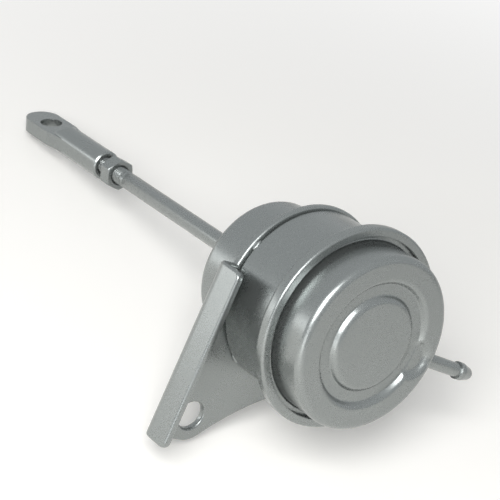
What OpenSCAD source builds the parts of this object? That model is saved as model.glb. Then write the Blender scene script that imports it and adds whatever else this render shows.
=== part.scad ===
// Diaphragm actuator with a stamped bracket, a crimped can and an adjustable rod end.
// X runs along the rod, from the eye towards the front cover. Z is the eye's axis, up.
// The origin is on the rod's axis, at the bracket's mounting face.

/* [Rod and rod end] */
// Rod diameter
rod_d = 6; // [5:0.25:7]
// Mounting face to the eye's centre
eye_reach = 149; // [110:1:190]
// Eye hole diameter
eye_hole_d = 8; // [5:0.25:8.5]
// Eye centre to the tip of the rod end
eye_tip = 12.2; // [9:0.1:15]
// Width of the flattened eye
eye_w = 12.6; // [11.5:0.1:14]
// Thickness of the flattened eye
eye_t = 5; // [3:0.1:6]
// Length of the flattened part
eye_len = 22.6; // [18:0.1:26]
// Run-out radius between the flat and the round bar
eye_runout_r = 3; // [1:0.1:4]
// Length over which the eye narrows to the bar
shoulder_len = 8; // [6:0.5:10]
// Bend radius at the wide end of that taper
shoulder_r = 8; // [4:0.5:10]
// Overall length of the rod end
end_len = 51.5; // [46:0.5:60]
// Diameter of the rod end's round bar
end_d = 10.5; // [9.5:0.1:11.3]
// Width of the chamfer at the rod end's mouth
end_chamfer = 0.6; // [0.2:0.1:0.9]
// Depth of the threaded hole in the rod end
end_bore_len = 26; // [22:0.5:27]
// Sight hole diameter
sight_d = 2; // [1:0.1:2.5]
// Sight hole's distance from the rod end's mouth
sight_x = 23.5; // [18:0.5:24]
// Angle of the sight hole round the rod end
sight_angle = 65; // [0:5:90]
// Length of thread screwed into the rod end
thread_in = 21; // [12:0.5:21.5]
// Gap between the rod end and the lock nut
nut_gap = 4; // [0.5:0.1:8]
// Lock nut width across flats
nut_af = 10; // [9:0.1:11]
// Lock nut thickness
nut_t = 5.2; // [4:0.1:6]
// Thread left in view past the lock nut
thread_past = 4.5; // [2:0.1:8]
// Depth of the thread run-out groove
thread_runout = 0.25; // [0.1:0.05:0.4]

/* [Bracket] */
// Bracket sheet thickness
plate_t = 2.5; // [1.5:0.1:3]
// Outer diameter of the drawn cup
cup_d = 46.4; // [44:0.2:48]
// Depth of the cup behind the mounting face
cup_depth = 17.8; // [15:0.1:22]
// Outer bend radius at the cup's base
cup_base_r = 4; // [3.5:0.1:6]
// Inner bend radius at the cup's mouth
cup_mouth_r = 1.5; // [1:0.1:2]
// Diameter of the rod hole in the cup's base
cup_hole_d = 14; // [13:0.1:18]
// Diameter of the lip round the cup's mouth
lip_d = 58; // [56:0.1:60]
// Distance between the two mounting holes
hole_span = 72.6; // [70:0.1:76]
// Mounting holes below the rod's axis
hole_drop = 32.7; // [31:0.1:35]
// Mounting hole diameter
mount_hole_d = 9; // [6:0.1:10]
// Radius of the rounded ears
ear_r = 8.4; // [7.5:0.1:9.5]
// Lower edge below the rod's axis, at its middle
edge_drop = 33.8; // [32.5:0.1:35]
// Folded flange's outer face from the rod's axis
fold_offset = 35.2; // [34.5:0.1:37]
// Lean of the folded flange from the vertical
fold_lean = 22.4; // [18:0.1:26]
// Height of the folded flange above the mounting face
fold_h = 11.6; // [9:0.1:14]
// Flange's upper end, measured along it from its middle line
fold_top = 4.3; // [1:0.1:7]
// Outer bend radius of the fold
fold_r = 4; // [3.5:0.1:5]
// Corner radius at the flange's free edge
fold_corner_r = 2.2; // [1:0.1:4]

/* [Rear can] */
// Can sheet thickness
can_t = 1.2; // [0.8:0.1:1.4]
// Can diameter in front of the bracket
can_d = 56; // [54.5:0.1:56.5]
// Mounting face to the rear of the crimped ring
ring_x = 23; // [21:0.1:26]
// Diameter of the crimped ring
ring_d = 64.2; // [63:0.1:66]
// Inner diameter of the rolled lip
ring_lip_d = 58.4; // [57.6:0.1:59]
// Outer bend radius where the ring leaves the can
ring_root_r = 1; // [0.6:0.1:1.4]
// Outer bend radius of the ring's edges
ring_edge_r = 1.5; // [1.45:0.05:1.6]
// Play between the can's step and the cup
cup_play = 0.2; // [0.1:0.05:0.4]

/* [Front cover] */
// Cover sheet thickness
cover_t = 1.1; // [0.9:0.1:1.3]
// Cover diameter
cover_d = 55.2; // [54:0.1:55.8]
// Mounting face to the front of the cover
cover_x = 38.2; // [36.5:0.1:42]
// Outer radius of the cover's front edge
cover_edge_r = 2.8; // [2:0.1:4]
// Diameter of the recess at its floor
recess_d = 37.6; // [36:0.1:40]
// Depth of the recess
recess_depth = 1.6; // [1.2:0.1:2.2]
// Width of the recess floor, between its wall and the raised disc
recess_w = 3.55; // [2.5:0.05:4.5]
// Radius at the top of the recess wall
recess_top_r = 1.8; // [1.4:0.1:2.4]
// Radius at the top of the raised disc
disc_top_r = 2.2; // [1.4:0.1:2.6]
// Width of the sloped walls of the recess and the disc
slope_w = 1.2; // [0.8:0.1:1.6]
// Diameter of the lobe off the recess
lobe_d = 13.4; // [12:0.1:14]
// Distance of the lobe's middle from the rod's axis
lobe_offset = 18.6; // [18:0.1:19]
// Height of the lobe's floor above the recess floor
lobe_step = 0.2; // [0.1:0.05:0.5]

/* [Hose nipple] */
// Mounting face to the nipple's axis
nipple_x = 32; // [31:0.1:33]
// Angle of the nipple round the rod's axis
nipple_angle = -26.5; // [-60:0.5:0]
// Rod's axis to the nipple's tip
nipple_reach = 53; // [48:0.5:60]
// Tube diameter
tube_d = 4.5; // [4:0.1:5]
// Barb diameter
barb_d = 5.7; // [5.2:0.1:6.2]
// Length of the barb from its shoulder to the tip
barb_len = 6.5; // [5:0.1:8]
// Nipple bore diameter
nipple_bore_d = 2.6; // [2:0.1:3]

/* [Diaphragm and piston] */
// Diaphragm thickness
rubber_t = 0.7; // [0.5:0.05:0.8]
// Outer diameter of the piston
piston_d = 41; // [40.6:0.1:42]
// Piston sheet thickness
piston_t = 1; // [0.8:0.1:1.2]
// Piston depth
piston_len = 17; // [14:0.1:17.3]
// Diameter of the plate that holds the diaphragm
retainer_d = 36; // [30:0.1:37]
// Thickness of that plate
retainer_t = 1.2; // [1:0.1:1.4]
// Rest gap between that plate and the cover
stop_gap = 0.3; // [0.1:0.05:0.5]
// Diameter of the washer behind the piston
washer_d = 16; // [13:0.1:20]
// Thickness of that washer
washer_t = 1.5; // [1:0.1:2]
// Diameter of the rod's riveted tail
tail_d = 4.6; // [4:0.1:4.8]
// Diameter of the rivet head
rivet_d = 8.4; // [7:0.1:10]
// Height of the rivet head
rivet_h = 1.3; // [1:0.1:1.4]

/* [Spring and rod guide] */
// Spring wire diameter
wire_d = 2.6; // [2:0.1:3]
// Spring mean diameter
spring_d = 31; // [29:0.1:33]
// Number of coils
spring_turns = 6; // [4:0.5:8]
// Thickness of the spring seat
seat_t = 1; // [0.6:0.1:1.5]
// Inner diameter of the spring seat
seat_bore_d = 19; // [18.2:0.1:22]
// Outer diameter of the spring seat
seat_d = 35; // [34:0.1:36]
// Outer diameter of the guide's housing
guide_d = 11.6; // [10.8:0.1:12.4]
// Flange diameter of the guide's housing
guide_flange_d = 17.6; // [15:0.1:18]
// Flange thickness of the guide's housing
guide_flange_t = 1.2; // [0.8:0.1:1.6]
// Length of the housing in front of the can's base
guide_len = 10; // [9:0.1:12]
// Wall of the bush round the rod
bush_wall = 1; // [0.8:0.1:1.2]
// Length of the bush
bush_len = 8; // [6:0.1:9]
// Length of the rod seal
seal_len = 2.2; // [1.6:0.1:3]
// Height of the cap over the guide's housing
cap_h = 1; // [0.6:0.1:1.5]
// Wall of the cap
cap_wall = 0.8; // [0.5:0.1:1.2]
// Length of the cap's skirt round the housing
cap_skirt = 3; // [2:0.1:4]
// Running play of the rod, on the radius
rod_play = 0.04; // [0.02:0.01:0.08]

/* [Hidden] */

round_fn = 96;
bore_fn = 48;
// Straight steps in the arc of each bend
bend_steps = 8;
// Small overlap that lets a cut pass a face
cut = 0.5;
// Play between pieces that are slipped together
slip = 0.05;

steel = "silver";
bare_steel = "lightgray";
rubber = "dimgray";
bronze = "peru";

rod_r = rod_d / 2;
cup_r = cup_d / 2;
can_r = can_d / 2;
cover_r = cover_d / 2;
ring_r = ring_d / 2;
disc_d = recess_d - 2 * recess_w;

// Stations along X, from the rod end to the cover
end_tip_x = -eye_reach - eye_tip;
end_mouth_x = end_tip_x + end_len;
nut_x = end_mouth_x + nut_gap;
thread_end_x = nut_x + nut_t + thread_past;
cup_base_x = -cup_depth;
can_base_x = cup_base_x + plate_t;
can_floor_x = can_base_x + can_t;
clamp_x = ring_x + can_t;
cover_flange_x = clamp_x + rubber_t;
ring_front_x = cover_flange_x + cover_t + can_t;
recess_x = cover_x - recess_depth;
retainer_x = recess_x - cover_t - stop_gap - retainer_t;
membrane_x = retainer_x - rubber_t;
piston_x = membrane_x - piston_t;
shoulder_x = piston_x - washer_t;

// Radii that follow the neighbouring pieces
step_r = cup_r - plate_t - cup_play;
clamp_r = ring_r - ring_edge_r - slip;
inner_leg_r = piston_d / 2 + rubber_t / 2 + slip;
outer_leg_r = can_r - can_t - rubber_t / 2 - 0.3;
roll_x = piston_x - piston_len + 2;
bush_r = rod_r + rod_play + bush_wall;
seal_r = bush_r;
// Gap between the rod and the cap, and between the rod and the seal's body
rod_gap = 0.3;
// How far the end of the eye's taper lies inside the bar
taper_inset = 0.4;

// A unit vector
function unit(v) = v / norm(v);

// The angle by which a path turns at b, positive to the left
function turn_at(a, b, c) =
    let (u = unit(b - a), v = unit(c - b))
    atan2(u.x * v.y - u.y * v.x, u * v);

// The points of a bend of radius r at the corner b
function bend(a, b, c, r, steps) =
    let (u = unit(b - a), t = turn_at(a, b, c), side = sign(t))
    let (start = b - u * r * tan(abs(t) / 2))
    let (centre = start + side * r * [-u.y, u.x])
    let (first = atan2(u.y, u.x) - side * 90)
    r == 0 ? [b] : [for (i = [0 : steps]) centre + r * [cos(first + t * i / steps), sin(first + t * i / steps)]];

function flat_point(p) = [p[0], p[1]];

// A path with each corner [across, along, bend radius] rounded
function bent_path(p, steps = bend_steps) = [
    for (i = [0 : len(p) - 1])
        each (i == 0 || i == len(p) - 1 ? [flat_point(p[i])]
            : bend(flat_point(p[i - 1]), flat_point(p[i]), flat_point(p[i + 1]), p[i][2], steps))];

// The same path moved to its left by d
function beside(q, d) = [
    for (i = [0 : len(q) - 1])
        let (u = unit(i > 0 ? q[i] - q[i - 1] : q[1] - q[0]))
        let (v = unit(i < len(q) - 1 ? q[i + 1] - q[i] : q[i] - q[i - 1]))
        let (n = unit([-u.y - v.y, u.x + v.x]))
        q[i] + n * d / (n * [-u.y, u.x])];

function reversed(q) = [for (i = [len(q) - 1 : -1 : 0]) q[i]];

// The closed outline of a sheet of thickness t on the left of a path
function sheet(p, t) = let (q = bent_path(p)) concat(q, reversed(beside(q, t)));

// Turns an outline of [radius, station] points about the X axis
module turned(points) {
    rotate([0, 90, 0])
        rotate_extrude($fn = round_fn)
            polygon(points);
}

// A ring along X from x1 to x2
module ring_x(x1, x2, outer, inner) {
    turned([[inner, x1], [outer, x1], [outer, x2], [inner, x2]]);
}

// Stands a drawing in Y and Z up and gives it a thickness along X
module plate_x(x1, x2) {
    translate([x1, 0, 0])
        rotate([90, 0, 90])
            linear_extrude(height = x2 - x1)
                children();
}

// Places children at the folded flange: Y is its outward normal and Z runs down along it
module at_fold() {
    rotate([180 - fold_lean, 0, 0])
        children();
}

// Bracket: a drawn cup, a lip, two ears and a folded flange, from one sheet

hole_y = hole_span / 2;
ear_angle = atan2(-hole_drop, hole_y);
ear_far = norm([hole_y, hole_drop]);
// The hole seen from the folded flange
fold_axis = 180 - fold_lean;
hole_across = -hole_y * cos(fold_axis) - hole_drop * sin(fold_axis);
hole_along = hole_y * sin(fold_axis) - hole_drop * cos(fold_axis);
fold_end = hole_along + ear_r;
// The lower edge is an arc that is tangent to both ears
edge_rise = edge_drop - hole_drop;
edge_r = (pow(hole_y, 2) + pow(edge_rise, 2) - pow(ear_r, 2)) / (2 * (ear_r - edge_rise));
edge_centre = [0, -edge_drop - edge_r];
ear_tangent = [hole_y, -hole_drop] + ear_r * unit(edge_centre - [hole_y, -hole_drop]);
ear_lift = ear_angle + acos((lip_d / 2 - ear_r) / ear_far);

// A point given by its distance from the axis towards the flange and along the flange
function from_fold(across, along) = [
    across * cos(fold_axis) - along * sin(fold_axis),
    across * sin(fold_axis) + along * cos(fold_axis)];

module ear_outlines() {
    bend_line = fold_offset - fold_r - slip;
    polygon([[0, 0], from_fold(0, -fold_top), from_fold(bend_line, -fold_top), from_fold(bend_line, fold_end),
        from_fold(hole_across, fold_end), [-ear_tangent.x, ear_tangent.y], [0, -edge_drop]]);
    polygon([[0, 0], [0, -edge_drop], ear_tangent, [hole_y, -hole_drop],
        [hole_y, -hole_drop] + ear_r * [cos(ear_lift), sin(ear_lift)],
        lip_d / 2 * [cos(ear_lift), sin(ear_lift)]]);
}

module plate_outline() {
    difference() {
        union() {
            circle(d = lip_d, $fn = round_fn);
            ear_outlines();
            for (side = [-1, 1])
                translate([side * hole_y, -hole_drop])
                    circle(r = ear_r, $fn = bore_fn);
        }
        translate(edge_centre)
            circle(r = edge_r, $fn = round_fn);
        for (side = [-1, 1])
            translate([side * hole_y, -hole_drop])
                circle(d = mount_hole_d, $fn = bore_fn);
        circle(r = cup_r + cup_mouth_r + cut, $fn = round_fn);
    }
}

module folded_flange() {
    section = sheet([[0, fold_offset - fold_r - cut, 0], [0, fold_offset, fold_r], [fold_h, fold_offset, 0]], -plate_t);
    at_fold()
        intersection() {
            translate([0, 0, -fold_top])
                linear_extrude(height = fold_end + fold_top)
                    polygon(section);
            flange_blank();
        }
}

// The flange's flat shape: square at the plate and rounded at its free edge
module flange_blank() {
    length = fold_end + fold_top;
    translate([0, fold_offset + cut, -fold_top])
        rotate([90, 0, 0])
            linear_extrude(height = fold_offset)
                difference() {
                    translate([-cut, 0])
                        square([fold_h + cut, length]);
                    for (end = [0, 1])
                        translate([fold_h, end * length])
                            mirror([0, end])
                                free_corner(fold_corner_r);
                }
}

// What is cut off a square corner to round it
module free_corner(r) {
    difference() {
        translate([-r, -cut])
            square([r + cut, r + cut]);
        translate([-r, r])
            circle(r = r, $fn = bore_fn);
    }
}

module bracket() {
    mouth_r = cup_mouth_r + plate_t;
    color(steel)
        union() {
            turned(sheet([[cup_hole_d / 2, cup_base_x, 0], [cup_r, cup_base_x, cup_base_r], [cup_r, 0, cup_mouth_r],
                [cup_r + mouth_r, 0, 0]], plate_t));
            plate_x(0, plate_t)
                plate_outline();
            folded_flange();
        }
}

// Rear can: a stepped shell whose flange is rolled over the cover's flange

module rear_can() {
    color(steel)
        turned(sheet([[guide_d / 2 + slip, can_base_x, 0],
            [step_r, can_base_x, 2.4],
            [step_r, plate_t, cup_mouth_r + plate_t + cup_play],
            [can_r, plate_t, 2],
            [can_r, ring_x, ring_root_r],
            [ring_r, ring_x, ring_edge_r],
            [ring_r, ring_front_x, ring_edge_r],
            [ring_lip_d / 2, ring_front_x, 0]], can_t));
}

// Front cover: a drawn cap with a recess, a raised disc and a lobe towards the nipple

cover_path = [[clamp_r, cover_flange_x + cover_t, 0],
    [cover_r, cover_flange_x + cover_t, 0.6],
    [cover_r, cover_x, cover_edge_r],
    [recess_d / 2 + slope_w, cover_x, recess_top_r],
    [recess_d / 2, recess_x, 0.4],
    [disc_d / 2, recess_x, 0.4],
    [disc_d / 2 - slope_w, cover_x, disc_top_r],
    [0, cover_x, 0]];

lobe_depth = recess_depth - lobe_step;
lobe_sphere_r = (pow(lobe_d / 2, 2) + pow(lobe_depth, 2)) / (2 * lobe_depth);

module at_lobe() {
    rotate([nipple_angle, 0, 0])
        translate([cover_x - lobe_depth + lobe_sphere_r, lobe_offset, 0])
            children();
}

module front_cover() {
    outside = bent_path(cover_path);
    inside = beside(outside, cover_t);
    back_x = cover_flange_x;
    color(steel)
        difference() {
            turned(concat(outside, [[0, back_x], [clamp_r, back_x]]));
            at_lobe()
                sphere(r = lobe_sphere_r, $fn = round_fn);
            difference() {
                turned(concat([[inside[1].x, back_x - cut]], [for (i = [1 : len(inside) - 1]) inside[i]],
                    [[0, back_x - cut]]));
                at_lobe()
                    sphere(r = lobe_sphere_r + cover_t, $fn = round_fn);
            }
            at_nipple()
                cylinder(r = tube_d / 2 + slip, h = cover_r + cut, $fn = bore_fn);
        }
}

// Hose nipple: a turned tube with one barb, brazed into the cover's side

// Z runs outwards along the nipple
module at_nipple() {
    translate([nipple_x, 0, 0])
        rotate([nipple_angle - 90, 0, 0])
            children();
}

module hose_nipple() {
    root = cover_r - cover_t - 1;
    shoulder = nipple_reach - barb_len;
    tip_r = tube_d / 2 - 0.25;
    color(steel)
        at_nipple()
            rotate_extrude($fn = bore_fn)
                polygon(concat([[nipple_bore_d / 2, root], [tube_d / 2, root], [tube_d / 2, shoulder]],
                    bent_path([[tube_d / 2, shoulder, 0], [barb_d / 2, shoulder, 0.25],
                        [barb_d / 2, shoulder + 2, 1.5], [tip_r, nipple_reach - 0.9, 1],
                        [tip_r - 0.5, nipple_reach, 0.3], [nipple_bore_d / 2, nipple_reach, 0]])));
}

// Diaphragm: moulded rubber with one rolled fold, clamped between the flanges

module diaphragm() {
    mid = rubber_t / 2;
    roll_r = (outer_leg_r - inner_leg_r) / 2;
    line = bent_path([[tail_d / 2 + slip, membrane_x + mid, 0],
        [inner_leg_r, membrane_x + mid, 1.2],
        [inner_leg_r, roll_x, roll_r - slip],
        [outer_leg_r, roll_x, roll_r - slip],
        [outer_leg_r, clamp_x + mid, ring_root_r + can_t + mid],
        [clamp_r, clamp_x + mid, 0]]);
    color(rubber)
        turned(concat(beside(line, -mid), reversed(beside(line, mid))));
}

// Piston: a drawn cup that backs the diaphragm and holds the spring

module piston() {
    color(bare_steel)
        turned(sheet([[piston_d / 2, piston_x + piston_t - piston_len, 0],
            [piston_d / 2, piston_x + piston_t, 1.6],
            [tail_d / 2 + slip, piston_x + piston_t, 0]], piston_t));
}

// Plate that clamps the diaphragm to the piston

module retainer_plate() {
    color(bare_steel)
        turned(concat([[tail_d / 2 + slip, retainer_x]],
            bent_path([[tail_d / 2 + 1, retainer_x, 0], [retainer_d / 2, retainer_x, 0.5],
                [retainer_d / 2, retainer_x + retainer_t, 0.3], [tail_d / 2 + slip, retainer_x + retainer_t, 0]])));
}

module piston_washer() {
    color(bare_steel)
        ring_x(shoulder_x, piston_x, washer_d / 2, tail_d / 2 + slip);
}

// Rod: plain bar, threaded at the rod end and riveted over the plate at the piston

module actuator_rod() {
    thread_tip_x = end_mouth_x - thread_in;
    rivet_x = retainer_x + retainer_t;
    tail_r = tail_d / 2;
    color(bare_steel)
        turned([[0, thread_tip_x], [rod_r - 0.8, thread_tip_x], [rod_r, thread_tip_x + 0.8], [rod_r, thread_end_x],
            [rod_r - thread_runout, thread_end_x + 0.4], [rod_r - thread_runout, thread_end_x + 0.8],
            [rod_r, thread_end_x + 1.4], [rod_r, shoulder_x], [tail_r, shoulder_x], [tail_r, rivet_x],
            [rivet_d / 2, rivet_x], [rivet_d / 2, rivet_x + rivet_h * 0.4], [rivet_d / 2 - 0.9, rivet_x + rivet_h],
            [0, rivet_x + rivet_h]]);
}

// Return spring: a coil with closed ends, between the seat and the piston

spring_sides = 10;
steps_per_turn = 24;

// Height of the coil's centre line, flat over the first and last turn
function coil_height(turn, low, high) =
    let (rise = high - low - 2 * wire_d, free = spring_turns - 2)
    turn < 1 ? low + wire_d * turn
        : turn > spring_turns - 1 ? high - wire_d * (spring_turns - turn)
        : low + wire_d + rise * (turn - 1) / free;

module coil(low, high) {
    count = spring_turns * steps_per_turn;
    points = [for (i = [0 : count], j = [0 : spring_sides - 1])
        let (turn = i / steps_per_turn, a = 360 * turn, b = 360 * j / spring_sides)
        let (r = spring_d / 2 + wire_d / 2 * cos(b))
        [coil_height(turn, low, high) + wire_d / 2 * sin(b), r * cos(a), r * sin(a)]];
    sides = [for (i = [0 : count - 1], j = [0 : spring_sides - 1])
        let (k = (j + 1) % spring_sides, m = i * spring_sides)
        [m + j, m + k, m + spring_sides + k, m + spring_sides + j]];
    ends = [[for (j = [spring_sides - 1 : -1 : 0]) j], [for (j = [0 : spring_sides - 1]) count * spring_sides + j]];
    polyhedron(points = points, faces = [for (f = concat(sides, ends)) reversed(f)], convexity = 10);
}

module return_spring() {
    low = can_floor_x + seat_t + slip + wire_d / 2;
    high = piston_x - slip - wire_d / 2;
    color(bare_steel)
        coil(low, high);
}

module spring_seat() {
    color(bare_steel)
        ring_x(can_floor_x, can_floor_x + seat_t, seat_d / 2, seat_bore_d / 2);
}

// Rod guide: a housing in the can's base with a bush, a seal and a cap

module guide_housing() {
    floor_x = can_floor_x;
    front_x = floor_x + guide_len;
    color(bare_steel)
        turned([[bush_r, can_base_x], [guide_d / 2, can_base_x], [guide_d / 2, floor_x], [guide_flange_d / 2, floor_x],
            [guide_flange_d / 2, floor_x + guide_flange_t], [guide_d / 2, floor_x + guide_flange_t],
            [guide_d / 2, front_x], [bush_r, front_x]]);
}

module guide_bush() {
    color(bronze)
        ring_x(can_base_x, can_base_x + bush_len, bush_r, rod_r + rod_play);
}

module rod_seal() {
    start_x = can_base_x + bush_len;
    lip = rod_r + rod_play;
    color(rubber)
        turned([[lip + rod_gap, start_x], [seal_r, start_x], [seal_r, start_x + seal_len],
            [lip + rod_gap, start_x + seal_len], [lip, start_x + seal_len / 2]]);
}

module seal_cap() {
    front_x = can_floor_x + guide_len;
    inner = guide_d / 2 + slip;
    color(bare_steel)
        turned([[rod_r + rod_gap, front_x], [inner, front_x], [inner, front_x - cap_skirt],
            [inner + cap_wall, front_x - cap_skirt], [inner + cap_wall, front_x + cap_h],
            [rod_r + rod_gap, front_x + cap_h]]);
}

// Lock nut: a chamfered hexagon

module lock_nut() {
    corner_r = nut_af / 2 / cos(30);
    chamfer = 0.6;
    face_r = nut_af / 2 - 0.1;
    color(steel)
        difference() {
            intersection() {
                translate([nut_x, 0, 0])
                    rotate([0, 90, 0])
                        cylinder(h = nut_t, r = corner_r, $fn = 6);
                turned([[0, nut_x], [face_r, nut_x], [corner_r + slip, nut_x + chamfer],
                    [corner_r + slip, nut_x + nut_t - chamfer], [face_r, nut_x + nut_t], [0, nut_x + nut_t]]);
            }
            turned([[0, nut_x - cut], [rod_r + 0.7 + cut, nut_x - cut], [rod_r + slip, nut_x + 0.7],
                [rod_r + slip, nut_x + nut_t - 0.7], [rod_r + 0.7 + cut, nut_x + nut_t + cut],
                [0, nut_x + nut_t + cut]]);
        }
}

// Rod end: a round bar with a blind threaded hole, pressed flat at the eye

module rod_end() {
    color(steel)
        difference() {
            union() {
                end_bar();
                eye_blade();
            }
            eye_flats();
            translate([-eye_reach, 0, 0])
                cylinder(d = eye_hole_d, h = end_d * 2, center = true, $fn = bore_fn);
            turned([[0, end_mouth_x + cut], [rod_r + 0.7 + cut, end_mouth_x + cut], [rod_r + slip, end_mouth_x - 0.7],
                [rod_r + slip, end_mouth_x - end_bore_len], [0, end_mouth_x - end_bore_len - rod_r / 2]]);
            translate([end_mouth_x - sight_x, 0, 0])
                rotate([sight_angle - 90, 0, 0])
                    cylinder(d = sight_d, h = end_d, $fn = bore_fn);
        }
}

module end_bar() {
    r = end_d / 2;
    turned([[0, end_tip_x + eye_w / 2], [r, end_tip_x + eye_w / 2], [r, end_mouth_x - end_chamfer],
        [r - end_chamfer, end_mouth_x], [0, end_mouth_x]]);
}

// The metal squeezed out sideways by the flattening, with a rounded tip
module eye_blade() {
    half = eye_w / 2;
    // The taper begins before the end of the flats and ends past it
    taper_x = end_tip_x + eye_len - shoulder_len * 0.375;
    side = bent_path([[end_tip_x + half, half, 0], [taper_x, half, shoulder_r],
        [taper_x + shoulder_len, end_d / 2 - taper_inset, 0]]);
    translate([0, 0, -eye_t / 2])
        linear_extrude(height = eye_t)
            union() {
                translate([end_tip_x + half, 0])
                    circle(r = half, $fn = round_fn);
                polygon(concat([for (p = side) [p.x, -p.y]], reversed(side)));
            }
}

// The two flats, each with a run-out radius at its end
module eye_flats() {
    run_x = end_tip_x + eye_len;
    wedge = (end_d - eye_t) / 2 + cut;
    for (side = [0, 1])
        mirror([0, 0, side])
            translate([0, end_d, 0])
                rotate([90, 0, 0])
                    linear_extrude(height = 2 * end_d)
                        polygon(concat([[end_tip_x - cut, end_d], [end_tip_x - cut, eye_t / 2]],
                            bent_path([[end_tip_x - cut, eye_t / 2, 0], [run_x, eye_t / 2, eye_runout_r],
                                [run_x + wedge, eye_t / 2 + wedge, 0]]), [[run_x + wedge, end_d]]));
}

bracket();
rear_can();
front_cover();
hose_nipple();
diaphragm();
piston();
retainer_plate();
piston_washer();
actuator_rod();
return_spring();
spring_seat();
guide_housing();
guide_bush();
rod_seal();
seal_cap();
lock_nut();
rod_end();
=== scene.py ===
import math

import bmesh
import bpy
import numpy as np
from mathutils import Matrix


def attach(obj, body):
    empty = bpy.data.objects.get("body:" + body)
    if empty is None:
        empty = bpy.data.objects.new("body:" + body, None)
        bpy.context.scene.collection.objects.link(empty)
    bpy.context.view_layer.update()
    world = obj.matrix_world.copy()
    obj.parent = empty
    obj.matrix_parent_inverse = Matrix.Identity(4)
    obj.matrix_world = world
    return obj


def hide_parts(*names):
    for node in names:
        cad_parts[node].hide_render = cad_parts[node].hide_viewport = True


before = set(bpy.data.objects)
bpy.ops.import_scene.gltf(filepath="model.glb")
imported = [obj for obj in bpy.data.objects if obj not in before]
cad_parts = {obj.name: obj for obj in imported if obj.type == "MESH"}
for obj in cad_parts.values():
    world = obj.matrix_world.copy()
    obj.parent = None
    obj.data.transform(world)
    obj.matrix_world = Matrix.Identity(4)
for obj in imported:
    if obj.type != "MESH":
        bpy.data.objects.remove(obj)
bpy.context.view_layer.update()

# Bracket: pressed from one sheet of 2.5 mm steel, with a drawn cup, a lip, two ears and a folded flange.
# It wears the satin silver-grey coat of the whole actuator, sprayed after assembly: a fine even grain with
# a faint orange peel in the gloss. The flakes are drawn coarser than real ones, so that they show.
MM = 0.001
COAT_LIGHT = "#969A99"
COAT_DARK = "#8A8E8D"
COAT_METALLIC = 0.85
COAT_ROUGHNESS = 0.23
FLAKE_MM = 0.35
PEEL_MM = 1.1
CLOUD_MM = 14
PEEL_HEIGHT_MM = 0.04
GRAIN_HEIGHT_MM = 0.02
GRAIN_GLOSS = 0.08
CLOUD_GLOSS = (-0.02, 0.03)
EDGE_SOFT_MM = 0.35
EDGE_ANGLE = 35
EDGE_STEPS = 3
FLAT_ANGLE = 0.5
BRACKET_ROUND_MM = 0.75
BRACKET_WELD_MM = 0.12


def linear(colour):
    """An sRGB hex colour as linear red, green, blue and alpha."""
    share = np.array([int(colour[i:i + 2], 16) for i in (1, 3, 5)]) / 255
    light = np.where(share <= 0.04045, share / 12.92, ((share + 0.055) / 1.055) ** 2.4)
    return (*light, 1)


def add_node(tree, kind, settings=None, inputs=None):
    """Adds a node. Settings are its own properties. Inputs are constants, or sockets to link."""
    node = tree.nodes.new(kind)
    for key, value in (settings or {}).items():
        setattr(node, key, value)
    for key, value in (inputs or {}).items():
        if isinstance(value, bpy.types.NodeSocket):
            tree.links.new(value, node.inputs[key])
        else:
            node.inputs[key].default_value = value
    return node


def grained_finish(name, light, dark, metallic, roughness, grain_mm, bump=0.05, stretch=(1, 1, 1)):
    """A coat, metal or rubber. Its grain is noise of a real size, drawn out along an axis by stretch. Broad
    clouds of noise vary the gloss, and the bump is the grain over a coarser peel."""
    made = bpy.data.materials.new(name)
    made.use_nodes = True
    tree = made.node_tree
    tree.nodes.clear()
    place = add_node(tree, "ShaderNodeTexCoord").outputs["Object"]
    along = add_node(tree, "ShaderNodeMapping", inputs={
        "Vector": place, "Scale": stretch}).outputs["Vector"]
    grain = add_node(tree, "ShaderNodeTexNoise", inputs={
        "Vector": along, "Scale": 1 / (grain_mm * MM), "Detail": 3.0, "Roughness": 0.6})
    peel = add_node(tree, "ShaderNodeTexNoise", inputs={
        "Vector": place, "Scale": 1 / (PEEL_MM * MM), "Detail": 2.0, "Roughness": 0.5})
    cloud = add_node(tree, "ShaderNodeTexNoise", inputs={
        "Vector": place, "Scale": 1 / (CLOUD_MM * MM), "Detail": 4.0, "Roughness": 0.55})
    share = add_node(tree, "ShaderNodeMapRange", inputs={
        "Value": grain.outputs["Fac"], "From Min": 0.35, "From Max": 0.65})
    colour = add_node(tree, "ShaderNodeMix", {"data_type": "RGBA"}, {
        "Factor": share.outputs["Result"], 6: linear(dark), 7: linear(light)})
    gloss = add_node(tree, "ShaderNodeMapRange", inputs={
        "Value": cloud.outputs["Fac"], "From Min": 0.3, "From Max": 0.7,
        "To Min": roughness + CLOUD_GLOSS[0], "To Max": roughness + CLOUD_GLOSS[1]})
    worn = add_node(tree, "ShaderNodeMath", {"operation": "MULTIPLY_ADD"}, {
        0: grain.outputs["Fac"], 1: GRAIN_GLOSS, 2: gloss.outputs["Result"]})
    soft = add_node(tree, "ShaderNodeBevel", {"samples": 4}, {"Radius": EDGE_SOFT_MM * MM})
    low = add_node(tree, "ShaderNodeBump", inputs={
        "Height": peel.outputs["Fac"], "Strength": bump, "Distance": PEEL_HEIGHT_MM * MM,
        "Normal": soft.outputs["Normal"]})
    fine = add_node(tree, "ShaderNodeBump", inputs={
        "Height": grain.outputs["Fac"], "Strength": bump, "Distance": GRAIN_HEIGHT_MM * MM,
        "Normal": low.outputs["Normal"]})
    shader = add_node(tree, "ShaderNodeBsdfPrincipled", inputs={
        "Base Color": colour.outputs["Result"], "Metallic": metallic, "Roughness": worn.outputs["Value"],
        "Normal": fine.outputs["Normal"]})
    add_node(tree, "ShaderNodeOutputMaterial", inputs={"Surface": shader.outputs["BSDF"]})
    return made


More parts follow.
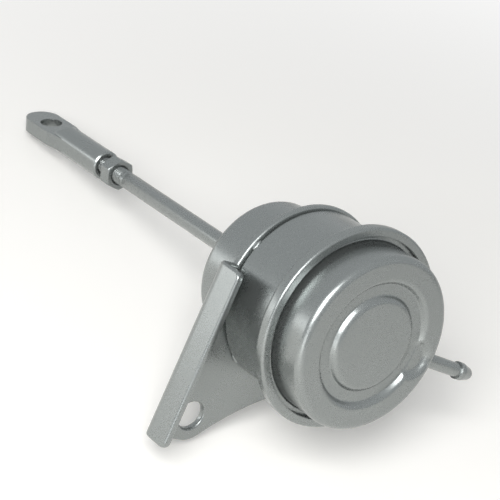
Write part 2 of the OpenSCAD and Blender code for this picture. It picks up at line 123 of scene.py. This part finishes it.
def dress(piece, material):
    """Gives a piece one material, also on every face that had another."""
    piece.data.materials.clear()
    piece.data.materials.append(material)
    piece.data.polygons.foreach_set("material_index", np.zeros(len(piece.data.polygons), np.int32))
    return piece


def softened(node, name, width, material, body, weld_mm=0.002, clamp=True):
    """A copy of a solid with its edges broken as tumbling and the coat leave them. Points closer than the
    weld are joined, its triangles become flat faces again, and every edge sharper than EDGE_ANGLE gets a
    round of that width. Without the clamp, a short edge doesn't make all the rounds narrower."""
    form = bmesh.new()
    form.from_mesh(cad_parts[node].data)
    bmesh.ops.remove_doubles(form, verts=form.verts, dist=weld_mm * MM)
    bmesh.ops.dissolve_limit(form, angle_limit=math.radians(FLAT_ANGLE), verts=form.verts,
                             edges=form.edges)
    made = bpy.data.meshes.new(name)
    form.to_mesh(made)
    form.free()
    made.polygons.foreach_set("use_smooth", np.ones(len(made.polygons), bool))
    piece = bpy.data.objects.new(name, made)
    bpy.context.scene.collection.objects.link(piece)
    round_off = piece.modifiers.new("broken_edges", "BEVEL")
    round_off.width = width * MM
    round_off.segments = EDGE_STEPS
    round_off.limit_method = "ANGLE"
    round_off.angle_limit = math.radians(EDGE_ANGLE)
    round_off.use_clamp_overlap = clamp
    flat = piece.modifiers.new("flat_faces", "WEIGHTED_NORMAL")
    flat.keep_sharp = True
    dress(piece, material)
    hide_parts(node)
    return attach(piece, body)


silver_coat = grained_finish("silver_coat_sprayed", COAT_LIGHT, COAT_DARK, COAT_METALLIC, COAT_ROUGHNESS,
                             FLAKE_MM)
softened("bracket", "bracket_sheet", BRACKET_ROUND_MM, silver_coat, "housing",
         BRACKET_WELD_MM, clamp=False)

# Rear can: drawn from 1.2 mm steel. It steps down into the bracket's cup, and its flange is rolled over
# the front cover's flange into the ring. Its bends are true arcs, so each draws a thin line of light.
# A corner is its radius and station, and the radius of its bend.
CAN_T = 1.2
CAN_CORNERS = ((5.85, -15.3, 0), (20.5, -15.3, 2.4), (20.5, 2.5, 4.2), (28, 2.5, 1.3), (28, 23, 1),
               (32.1, 23, 1.5), (32.1, 27.2, 0.8), (29.4, 27.2, 0))
CAN_SEGMENTS = 288
MEET_MM = 0.0005


def bent(corners, steps=12):
    """A path through corners of (radius, station, bend radius) in mm, each rounded by an arc that starts
    bend radius times the tangent of half the turn before the corner."""
    flat = np.array(corners, float)
    points = [flat[:1, :2]]
    for before, here, after in zip(flat[:-2], flat[1:-1], flat[2:]):
        way_in = (here - before)[:2] / np.linalg.norm((here - before)[:2])
        way_out = (after - here)[:2] / np.linalg.norm((after - here)[:2])
        turn = math.atan2(way_in[0] * way_out[1] - way_in[1] * way_out[0], way_in @ way_out)
        if here[2] == 0:
            points.append(here[None, :2])
            continue
        side = math.copysign(1, turn)
        start = here[:2] - way_in * here[2] * math.tan(abs(turn) / 2)
        centre = start + side * here[2] * np.array([-way_in[1], way_in[0]])
        first = math.atan2(way_in[1], way_in[0]) - side * math.pi / 2
        angle = first + turn * np.linspace(0, 1, steps + 1)
        points.append(centre + here[2] * np.stack([np.cos(angle), np.sin(angle)], 1))
    points.append(flat[-1:, :2])
    return np.concatenate(points)


def beside(path, distance):
    """The path moved to its left. Each point goes along the mean normal of its two pieces, lengthened at a
    bend."""
    step = np.diff(path, axis=0)
    step = step / np.linalg.norm(step, axis=1)[:, None]
    before = np.concatenate([step[:1], step])
    after = np.concatenate([step, step[-1:]])
    normal = np.stack([-(before + after)[:, 1], (before + after)[:, 0]], 1)
    normal = normal / np.linalg.norm(normal, axis=1)[:, None]
    straight = np.stack([-before[:, 1], before[:, 0]], 1)
    return path + normal * distance / (normal * straight).sum(1)[:, None]


def surface(name, grid, material, body, sharp=30):
    """A closed piece from a grid of points in mm. Each four neighbours make a face, and both ways round join
    up. Points that meet are merged, which closes poles, and the normals are turned outwards."""
    rows, columns = grid.shape[:2]
    place = np.arange(rows * columns).reshape(rows, columns)
    after = np.roll(place, -1, 0)
    faces = np.stack([place, after, np.roll(after, -1, 1), np.roll(place, -1, 1)], -1)
    made = bpy.data.meshes.new(name)
    made.from_pydata(grid.reshape(-1, 3) * MM, [], faces.reshape(-1, 4))
    form = bmesh.new()
    form.from_mesh(made)
    bmesh.ops.remove_doubles(form, verts=form.verts, dist=MEET_MM * MM)
    bmesh.ops.recalc_face_normals(form, faces=form.faces)
    form.to_mesh(made)
    form.free()
    made.polygons.foreach_set("use_smooth", np.ones(len(made.polygons), bool))
    made.set_sharp_from_angle(angle=math.radians(sharp))
    piece = bpy.data.objects.new(name, made)
    bpy.context.scene.collection.objects.link(piece)
    dress(piece, material)
    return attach(piece, body)


def around(segments):
    """Evenly spaced angles of a full turn, as a column."""
    return np.linspace(0, 2 * math.pi, segments, endpoint=False)[:, None]


def turned(outline, segments):
    """An outline of (radius, station) carried round the X axis. Y is radius times cosine, Z radius times
    sine."""
    angle = around(segments)
    radius, station = outline[:, 0], outline[:, 1]
    return np.stack([np.broadcast_to(station, (segments, len(outline))), radius * np.cos(angle),
                     radius * np.sin(angle)], -1)


can_outside = bent(CAN_CORNERS)
can_outline = np.concatenate([can_outside, beside(can_outside, CAN_T)[::-1]])
rear_can = surface("rear_can_shell", turned(can_outline, CAN_SEGMENTS), silver_coat,
                   "housing")
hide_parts("rear_can")

# Bracket's cup: the drawn part of the same sheet, with its base round the rod's guide. It flares out of
# a round base corner and wall into the plate and the lip. Its outside covers the solid's.
CUP_T = 1.2
CUP_CORNERS = ((16, -18.1, 0), (23.5, -18.1, 3), (23.5, -0.06, 3), (27.6, -0.06, 0))
cup_outside = bent(CUP_CORNERS)
cup_outline = np.concatenate([cup_outside, beside(cup_outside, CUP_T)[::-1]])
surface("bracket_cup", turned(cup_outline, CAN_SEGMENTS), silver_coat, "housing")

# Weld tacks: two beads of weld that hold the can in the bracket's lip, under the coat.
# Each is a low dome of a few millimetres, fused unevenly at its foot.
TACK_X = 2.9
TACK_RADIUS = 27.9
TACK_ANGLES = (133, 216)
TACK_SIZE = (0.7, 0.6, 1.9)
TACK_WAVES = (0.06, 0.04)
TACK_COLUMNS = 40
TACK_ROWS = 24


def bead(centre, size, turn, seed):
    """An ellipsoid about X, round and tangent, turned about X. A few waves of latitude and longitude make it
    uneven."""
    across = around(TACK_COLUMNS)
    up = np.linspace(0, math.pi, TACK_ROWS)[None]
    across, up = np.broadcast_arrays(across, up)
    wave = (1 + TACK_WAVES[0] * np.sin(3 * across + seed) * np.sin(up)
            + TACK_WAVES[1] * np.sin(5 * up + 2 * across + seed))
    wave = np.where((up == 0) | (up == math.pi), 1, wave)
    x = size[0] * np.sin(up) * np.cos(across) * wave
    outwards = size[1] * np.sin(up) * np.sin(across) * wave
    sideways = size[2] * np.cos(up)
    c, s = math.cos(math.radians(turn)), math.sin(math.radians(turn))
    radius = centre[1] + outwards
    return np.stack([centre[0] + x, radius * c - sideways * s, radius * s + sideways * c], -1)


for number, tack_angle in enumerate(TACK_ANGLES, 1):
    surface(f"weld_tack_{number}", bead((TACK_X, TACK_RADIUS), TACK_SIZE, tack_angle, number),
            silver_coat, "housing", sharp=60)

# Front cover: drawn from 1.1 mm steel, with a rounded front edge, a ring-shaped recess and a raised
# disc. A round dish is pressed into the face above the hose nipple and breaks into the recess.
COVER_T = 1.1
COVER_FRONT_X = 38.2
COVER_CORNERS = ((30.55, 25.3, 0), (27.6, 25.3, 0.6), (27.6, 38.2, 2.1), (20, 38.2, 1.8),
                 (18.8, 36.6, 0.4), (15.25, 36.6, 0.4), (14.05, 38.2, 2.2), (0, 38.2, 0))
COVER_SEGMENTS = 360
COVER_STEP = 0.3
NIPPLE_ANGLE = math.radians(-26.5)
DISH_OFFSET = 18.9
DISH_D = 13.2
DISH_FLOOR_D = 8.4
DISH_DEPTH = 1.6
DISH_BLEND = 0.7
DISC_FOOT_R = 16.5
FACE_REACH = 4


def evenly(path, step):
    """The same path with points at least every step along it."""
    run = np.concatenate([[0], np.cumsum(np.linalg.norm(np.diff(path, axis=0), axis=1))])
    places = np.union1d(run, np.arange(0, run[-1], step))
    return np.stack([np.interp(places, run, path[:, 0]), np.interp(places, run, path[:, 1])], 1)


def dished(grid, depth):
    """The grid's X cut back to a dish that is depth deep in the cover's face, beyond the disc's foot. Its
    wall follows an S curve, three times the square less twice the cube, from the flat floor to the rim. The
    lower of the two heights is kept. They are joined smoothly over DISH_BLEND by taking off a quarter of it
    where they are equal."""
    away = np.hypot(grid[..., 1] - DISH_OFFSET * math.cos(NIPPLE_ANGLE),
                    grid[..., 2] - DISH_OFFSET * math.sin(NIPPLE_ANGLE))
    rise = np.clip((away - DISH_FLOOR_D / 2) / (DISH_D / 2 - DISH_FLOOR_D / 2), 0, 1)
    dish = COVER_FRONT_X - depth + DISH_DEPTH * (3 * rise ** 2 - 2 * rise ** 3)
    share = np.clip(0.5 + 0.5 * (dish - grid[..., 0]) / DISH_BLEND, 0, 1)
    lower = dish * (1 - share) + grid[..., 0] * share - DISH_BLEND * share * (1 - share)
    beyond_disc = np.hypot(grid[..., 1], grid[..., 2]) > DISC_FOOT_R
    inside = (away < DISH_D / 2) & (grid[..., 0] > COVER_FRONT_X - FACE_REACH) & beyond_disc
    return np.stack([np.where(inside, lower, grid[..., 0]), grid[..., 1], grid[..., 2]], -1)


cover_outside = evenly(bent(COVER_CORNERS), COVER_STEP)
cover_inside = beside(bent(COVER_CORNERS, 6), COVER_T)[::-1]
cover_grid = np.concatenate([
    dished(turned(cover_outside, COVER_SEGMENTS), DISH_DEPTH),
    dished(turned(cover_inside, COVER_SEGMENTS), DISH_DEPTH + COVER_T)], 1)
front_cover = surface("front_cover_shell", cover_grid, silver_coat, "housing")
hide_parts("front_cover")

# Hose nipple: a turned steel tube with one barb, brazed into the cover's side under the coat.
# The braze runs up the tube in a smooth fillet.
NIPPLE_X = 32
TUBE_R = 2.25
BRAZE_SIZE = 1.5
BRAZE_SUNK = 0.4
BRAZE_IN_TUBE = 0.3
BRAZE_SEGMENTS = 96
BRAZE_ROWS = 16
COVER_R = 27.6
dress(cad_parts["hose_nipple"], silver_coat)


def fillet(width):
    """A hollow quarter round about the tube, on the cover's cylinder. The height over it grows as one less
    the cosine while the distance from the tube shrinks as one less the sine. Its foot goes on under both
    surfaces."""
    round_it = around(BRAZE_SEGMENTS)
    rise = np.linspace(0, math.pi / 2, BRAZE_ROWS)
    inner = TUBE_R - BRAZE_IN_TUBE
    away = np.concatenate([[TUBE_R + width], TUBE_R + width * (1 - np.sin(rise)), [inner, inner]])
    height = np.concatenate([[-BRAZE_SUNK], width * (1 - np.cos(rise)), [width, -BRAZE_SUNK]])
    x = away * np.cos(round_it)
    sideways = away * np.sin(round_it)
    outwards = np.sqrt(COVER_R ** 2 - sideways ** 2) + height
    c, s = math.cos(NIPPLE_ANGLE), math.sin(NIPPLE_ANGLE)
    return np.stack([NIPPLE_X + x, outwards * c - sideways * s, outwards * s + sideways * c], -1)


surface("nipple_braze", fillet(BRAZE_SIZE), silver_coat, "housing", sharp=60)

# Diaphragm and rod seal: moulded nitrile rubber, dull black with a fine matt skin. The diaphragm is
# clamped in the ring, and the seal sits under the guide's cap.
RUBBER_LIGHT = "#2B2B2A"
RUBBER_DARK = "#1D1D1C"
nitrile = grained_finish("nitrile_rubber_moulded", RUBBER_LIGHT, RUBBER_DARK, metallic=0, roughness=0.62,
                         grain_mm=0.25, bump=0.2)
for name in ("diaphragm", "rod_seal"):
    dress(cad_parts[name], nitrile)

# Piston, its plate and washer, the spring and its seat, and the guide's housing and cap: bare drawn
# steel, brighter than the coat, with fine marks along the draw.
DRAWN_LIGHT = "#B4B4B0"
DRAWN_DARK = "#9C9C98"
DRAWN_NODES = ("piston", "retainer_plate", "piston_washer", "return_spring", "spring_seat",
               "guide_housing", "seal_cap")
drawn_steel = grained_finish("bare_steel_drawn", DRAWN_LIGHT, DRAWN_DARK, metallic=1, roughness=0.3,
                             grain_mm=0.3, bump=0.15, stretch=(0.15, 1, 1))
for name in DRAWN_NODES:
    dress(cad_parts[name], drawn_steel)

# Guide bush: sintered bronze, pressed into the guide's housing. It is brown-gold, and its pores make it
# duller than solid bronze.
BRONZE_LIGHT = "#A9814F"
BRONZE_DARK = "#8A6538"
sintered_bronze = grained_finish("bronze_sintered", BRONZE_LIGHT, BRONZE_DARK, metallic=1, roughness=0.42,
                                 grain_mm=0.2, bump=0.3)
dress(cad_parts["guide_bush"], sintered_bronze)

# Rod: a drawn 6 mm bar with a rolled M6 thread of 1 mm pitch at the rod end, riveted over the piston's
# plate. The coat covers it too, so the thread's crests catch the light.
ROD_R = 3
ROD_SEGMENTS = 96
ROD_CORE = 0.7
THREAD_PITCH = 1.0
THREAD_DEPTH = 0.6
THREAD_CREST = 1 / 8
THREAD_ROOT = 1 / 4
THREAD_FROM = -130.7
THREAD_TO = -96.4
ROWS_PER_PITCH = 14
ROD_TIP = ((0, -130.7), (2.2, -130.7), (3, -129.9))
ROD_REST = ((3, -96), (2.75, -95.6), (2.75, -95.2), (3, -94.6), (3, 30.8), (2.3, 30.8), (2.3, 35.2),
            (4.2, 35.2), (4.2, 35.72), (3.3, 36.5), (0, 36.5))


def threaded(grid, angle):
    """The radius less the thread's depth, where the phase is the station over the pitch plus the share of a
    turn. Crest and root take their shares of the pitch, with straight flanks between. The divisor stays
    above the core's share of the radius, because it would be zero at the poles."""
    station = grid[..., 0]
    phase = (station / THREAD_PITCH + angle / (2 * math.pi)) % 1
    flank = np.clip((np.abs(phase - 0.5) * 2 - THREAD_CREST) / (1 - THREAD_CREST - THREAD_ROOT), 0, 1)
    fade_in = np.clip((station - THREAD_FROM) / THREAD_PITCH, 0, 1)
    fade_out = np.clip((THREAD_TO - station) / THREAD_PITCH, 0, 1)
    radius = np.hypot(grid[..., 1], grid[..., 2])
    shrink = 1 - THREAD_DEPTH * flank * fade_in * fade_out / np.maximum(radius, ROD_R * ROD_CORE)
    return np.stack([station, grid[..., 1] * shrink, grid[..., 2] * shrink], -1)


thread_rows = np.arange(THREAD_FROM + 1, THREAD_TO, THREAD_PITCH / ROWS_PER_PITCH)
thread_outline = np.stack([np.full(len(thread_rows), ROD_R), thread_rows], 1)
rod_grid = turned(np.concatenate([ROD_TIP, thread_outline, ROD_REST]), ROD_SEGMENTS)
rod = surface("actuator_rod_bar", threaded(rod_grid, around(ROD_SEGMENTS)), silver_coat,
              "rod", sharp=40)
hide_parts("actuator_rod")

# Lock nut and rod end: a chamfered M6 nut of 10 mm, and a bar of 10.5 mm drilled and tapped at one end
# and pressed flat round an 8 mm hole at the other. Both wear the same coat.
NUT_ROUND_MM = 0.2
ROD_END_ROUND_MM = 0.3
softened("lock_nut", "lock_nut_hexagon", NUT_ROUND_MM, silver_coat, "rod")
softened("rod_end", "rod_end_flattened", ROD_END_ROUND_MM, silver_coat, "rod")

# Floor: a plain white sheet. The actuator lies on the bracket's two ears and the rod end, so the sheet is
# level for the photographer and leans in the part's own frame. It stays clear of the rod end in the
# moved pose too. Seen directly, it fades into the white room at some distance from the part.
FLOOR_UP = (0.2329, 0, 0.9725)
FLOOR_CLEAR = 2.9
FLOOR_HALF = 1500
FLOOR_LIFT = 0.12
FLOOR_FADE = (0.16, 0.42)
FLOOR_COLOUR = "#F6F4F0"
TOOTH_MM = 2
TOOTH_HEIGHT_MM = 0.05


def lowest(node, up):
    """The smallest height of a CAD piece along the way up, in mm."""
    points = np.empty(len(node.data.vertices) * 3)
    node.data.vertices.foreach_get("co", points)
    return (points.reshape(-1, 3) @ up).min() / MM


floor_up = np.array(FLOOR_UP) / np.linalg.norm(FLOOR_UP)
floor_level = min(lowest(node, floor_up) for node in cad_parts.values()) - FLOOR_CLEAR
floor_along = np.cross((0, 1, 0), floor_up)
floor_along = floor_along / np.linalg.norm(floor_along)
floor_across = np.cross(floor_up, floor_along)
floor_corners = np.array([(-1, -1), (1, -1), (1, 1), (-1, 1)]) * FLOOR_HALF
floor_places = floor_up * floor_level + floor_corners @ np.stack([floor_along, floor_across])
floor_mesh = bpy.data.meshes.new("floor")
floor_mesh.from_pydata(floor_places * MM, [], [(0, 1, 2, 3)])
floor = bpy.data.objects.new("floor", floor_mesh)
bpy.context.scene.collection.objects.link(floor)
white_sheet = bpy.data.materials.new("paper_matt_white")
white_sheet.use_nodes = True
tree = white_sheet.node_tree
tree.nodes.clear()
place = add_node(tree, "ShaderNodeTexCoord").outputs["Object"]
path = add_node(tree, "ShaderNodeLightPath").outputs
tooth = add_node(tree, "ShaderNodeTexNoise", inputs={"Vector": place, "Scale": 1 / (TOOTH_MM * MM)})
bump = add_node(tree, "ShaderNodeBump", inputs={
    "Height": tooth.outputs["Fac"], "Strength": 0.05, "Distance": TOOTH_HEIGHT_MM * MM})
face = add_node(tree, "ShaderNodeBsdfPrincipled", inputs={
    "Base Color": linear(FLOOR_COLOUR), "Roughness": 0.9, "Specular IOR Level": 0.1,
    "Normal": bump.outputs["Normal"]})
seen = add_node(tree, "ShaderNodeMath", {"operation": "ADD"}, {
    0: path["Is Camera Ray"], 1: path["Is Glossy Ray"]})
lift = add_node(tree, "ShaderNodeMath", {"operation": "MULTIPLY"}, {
    0: seen.outputs["Value"], 1: FLOOR_LIFT})
glow = add_node(tree, "ShaderNodeEmission", inputs={
    "Color": (1, 1, 1, 1), "Strength": lift.outputs["Value"]})
near = add_node(tree, "ShaderNodeAddShader", inputs={
    0: face.outputs["BSDF"], 1: glow.outputs["Emission"]})
away = add_node(tree, "ShaderNodeVectorMath", {"operation": "LENGTH"}, {0: place})
far = add_node(tree, "ShaderNodeMapRange", inputs={
    "Value": away.outputs["Value"], "From Min": FLOOR_FADE[0], "From Max": FLOOR_FADE[1]})
fade = add_node(tree, "ShaderNodeMath", {"operation": "MULTIPLY"}, {
    0: far.outputs["Result"], 1: path["Is Camera Ray"]})
white = add_node(tree, "ShaderNodeEmission", inputs={"Color": (1, 1, 1, 1), "Strength": 1})
mixed = add_node(tree, "ShaderNodeMixShader", inputs={
    0: fade.outputs["Value"], 1: near.outputs["Shader"], 2: white.outputs["Emission"]})
add_node(tree, "ShaderNodeOutputMaterial", inputs={"Surface": mixed.outputs["Shader"]})
dress(floor, white_sheet)

# Light: an even pale room, white behind the object, with a key box above the camera's left shoulder that
# draws the shadow, a low box in front for the rounded edges, and a low one behind at the left for the
# flange.
ROOM_COLOUR = (0.95, 0.98, 1, 1)
ROOM_LEVEL = 0.3
ROOM_GLOSS = 0.42
BOXES = (("soft_box_key", (0.444, -0.478, 0.464), (0.5, 0.5), 7.4),
         ("soft_box_front_left", (0.36, -0.46, -0.06), (0.3, 0.2), 0.4),
         ("soft_box_left_rear", (-0.36, -0.38, 0.085), (0.4, 0.09), 0.26))
room = bpy.data.worlds.new("plain_room")
bpy.context.scene.world = room
room.use_nodes = True
room_tree = room.node_tree
room_tree.nodes.clear()
room_path = add_node(room_tree, "ShaderNodeLightPath").outputs
room_gloss = add_node(room_tree, "ShaderNodeMath", {"operation": "MULTIPLY_ADD"}, {
    0: room_path["Is Glossy Ray"], 1: ROOM_GLOSS, 2: ROOM_LEVEL})
room_white = add_node(room_tree, "ShaderNodeMath", {"operation": "MULTIPLY_ADD"}, {
    0: room_path["Is Camera Ray"], 1: 1 - ROOM_LEVEL, 2: room_gloss.outputs["Value"]})
room_colour = add_node(room_tree, "ShaderNodeMix", {"data_type": "RGBA"}, {
    "Factor": room_path["Is Camera Ray"], 6: ROOM_COLOUR, 7: (1, 1, 1, 1)})
room_light = add_node(room_tree, "ShaderNodeBackground", inputs={
    "Color": room_colour.outputs["Result"], "Strength": room_white.outputs["Value"]})
add_node(room_tree, "ShaderNodeOutputWorld", inputs={"Surface": room_light.outputs["Background"]})
for name, place, (width, height), watts in BOXES:
    box = bpy.data.objects.new(name, bpy.data.lights.new(name, "AREA"))
    box.data.shape = "RECTANGLE"
    box.data.size = width
    box.data.size_y = height
    box.data.energy = watts
    box.location = place
    box.rotation_euler = (-box.location).to_track_quat("-Z", "Y").to_euler()
    bpy.context.scene.collection.objects.link(box)

# Camera: its place, turn, lens and shift are solved from the photograph's edges. The axes are the
# camera's way to the right, up and back, in the part's frame.
CAMERA_PLACE = (345.6, -293.8, 214.7)
CAMERA_AXES = ((0.5809, 0.8079, 0.0991), (-0.3900, 0.1694, 0.9051), (0.7145, -0.5644, 0.4135))
CAMERA_SENSOR = 36
CAMERA_LENS = 118.78
CAMERA_SHIFT = (0.0114, 0.0203)
CAMERA_NEAR_M = 0.01
camera = bpy.data.objects.new("camera", bpy.data.cameras.new("camera"))
bpy.context.scene.collection.objects.link(camera)
camera_turn = Matrix(CAMERA_AXES).transposed().to_4x4()
camera.matrix_world = Matrix.Translation([c * MM for c in CAMERA_PLACE]) @ camera_turn
camera.data.sensor_width = CAMERA_SENSOR
camera.data.lens = CAMERA_LENS
camera.data.shift_x, camera.data.shift_y = CAMERA_SHIFT
camera.data.clip_start = CAMERA_NEAR_M
bpy.context.scene.camera = camera
bpy.context.scene.view_settings.view_transform = "Standard"

bpy.context.view_layer.update()
